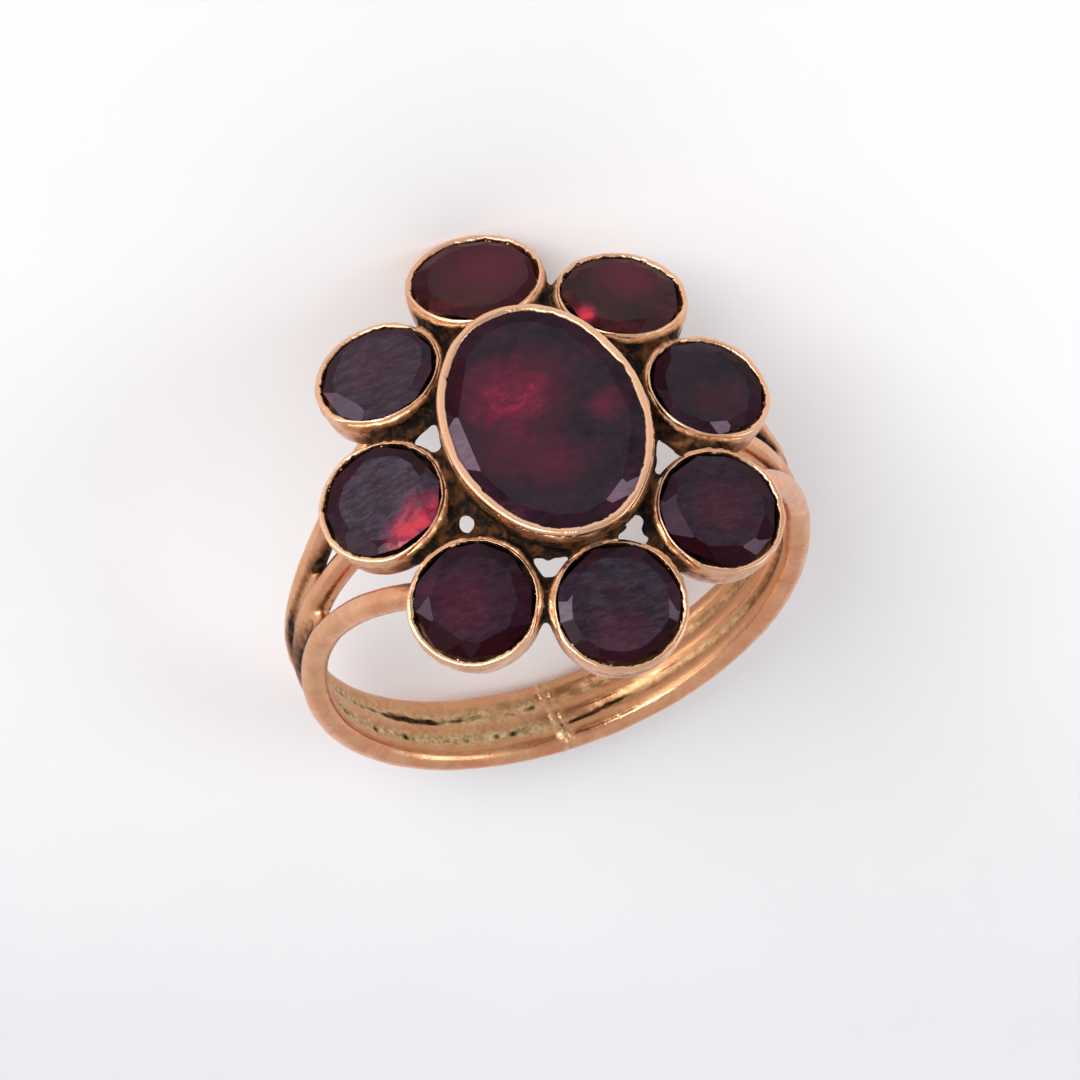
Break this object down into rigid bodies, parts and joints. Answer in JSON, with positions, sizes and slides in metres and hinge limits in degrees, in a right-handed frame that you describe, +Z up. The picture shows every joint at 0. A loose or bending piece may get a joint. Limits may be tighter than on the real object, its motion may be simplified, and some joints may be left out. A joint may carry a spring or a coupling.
{
  "type": "cluster ring",
  "caption": "Antique rose-gold finger ring: an oval dark red garnet ringed by smaller round garnets in closed collets, on a shank of soldered round wires.",
  "frame": {"origin": "on the surface that the ring lies on, under the middle of its outer box", "axes": "+Z up from that surface; the head with the stones is at the -Y end and the far side of the shank at the +Y end; X across the finger"},
  "size_m": [0.0188, 0.0217, 0.0176],
  "materials": {
    "rose_gold": "worn and tarnished",
    "garnet": "polished facets"
  },
  "bodies": {
    "root": {"gold_mount": "rose_gold", "oval_stone": "garnet", "round_stone_1": "garnet", "round_stone_2": "garnet", "round_stone_3": "garnet", "round_stone_4": "garnet", "round_stone_5": "garnet", "round_stone_6": "garnet", "round_stone_7": "garnet", "round_stone_8": "garnet"}
  },
  "joints": []
}
